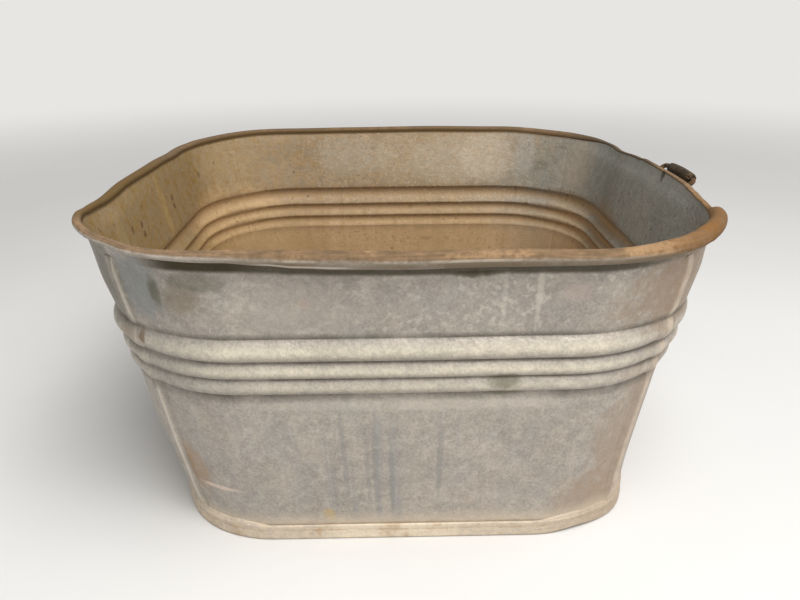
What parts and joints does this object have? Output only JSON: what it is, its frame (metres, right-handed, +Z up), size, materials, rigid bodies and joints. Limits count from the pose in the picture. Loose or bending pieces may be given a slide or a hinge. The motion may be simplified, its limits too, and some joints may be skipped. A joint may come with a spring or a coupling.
{
  "type": "pet bathtub",
  "caption": "Square galvanised sheet-steel wash tub with rounded corners, rolled wired rim, swaged beads, seamed floor and drop handles, used to bathe pets.",
  "frame": {"origin": "middle of the flat floor's underside, on the ground", "axes": "+Z up, +X towards the raised handle, -Y towards the front seen in the picture"},
  "size_m": [0.5851, 0.5588, 0.2969],
  "materials": {
    "galvanised_sheet": "weathered hot-dip zinc, dull, stained and lightly rusted",
    "rim_rod_steel": "plain drawn steel rod",
    "rivet_steel": "galvanised, dull",
    "rusty_wire": "rust-browned steel wire",
    "dark_wood": "dark weathered turned wood"
  },
  "bodies": {
    "tub": {"floor_pan": "galvanised_sheet", "front_wall": "galvanised_sheet", "right_wall": "galvanised_sheet", "back_wall": "galvanised_sheet", "left_wall": "galvanised_sheet", "rim_rod": "rim_rod_steel", "right_front_ear": "galvanised_sheet", "right_back_ear": "galvanised_sheet", "left_front_ear": "galvanised_sheet", "left_back_ear": "galvanised_sheet", "right_front_upper_rivet": "rivet_steel", "right_front_lower_rivet": "rivet_steel", "right_back_upper_rivet": "rivet_steel", "right_back_lower_rivet": "rivet_steel", "left_front_upper_rivet": "rivet_steel", "left_front_lower_rivet": "rivet_steel", "left_back_upper_rivet": "rivet_steel", "left_back_lower_rivet": "rivet_steel"},
    "right_handle": {"right_bail": "rusty_wire"},
    "right_handle_grip": {"right_grip": "dark_wood"},
    "left_handle": {"left_bail": "rusty_wire"},
    "left_handle_grip": {"left_grip": "dark_wood"}
  },
  "joints": [
    {"name": "right_handle_swing", "type": "hinge", "parent": "tub", "child": "right_handle", "pos_m": [0.26553, 0, 0.26198], "axis": [0, -1, 0], "range_deg": [-132, 15]},
    {"name": "right_grip_spin", "type": "hinge", "parent": "right_handle", "child": "right_handle_grip", "pos_m": [0.29911, 0, 0.2855], "axis": [0, 1, 0], "continuous": true},
    {"name": "left_handle_swing", "type": "hinge", "parent": "tub", "child": "left_handle", "pos_m": [-0.26553, 0, 0.26198], "axis": [0, 1, 0], "range_deg": [-7, 140]},
    {"name": "left_grip_spin", "type": "hinge", "parent": "left_handle", "child": "left_handle_grip", "pos_m": [-0.26553, 0, 0.22098], "axis": [0, 1, 0], "continuous": true}
  ]
}
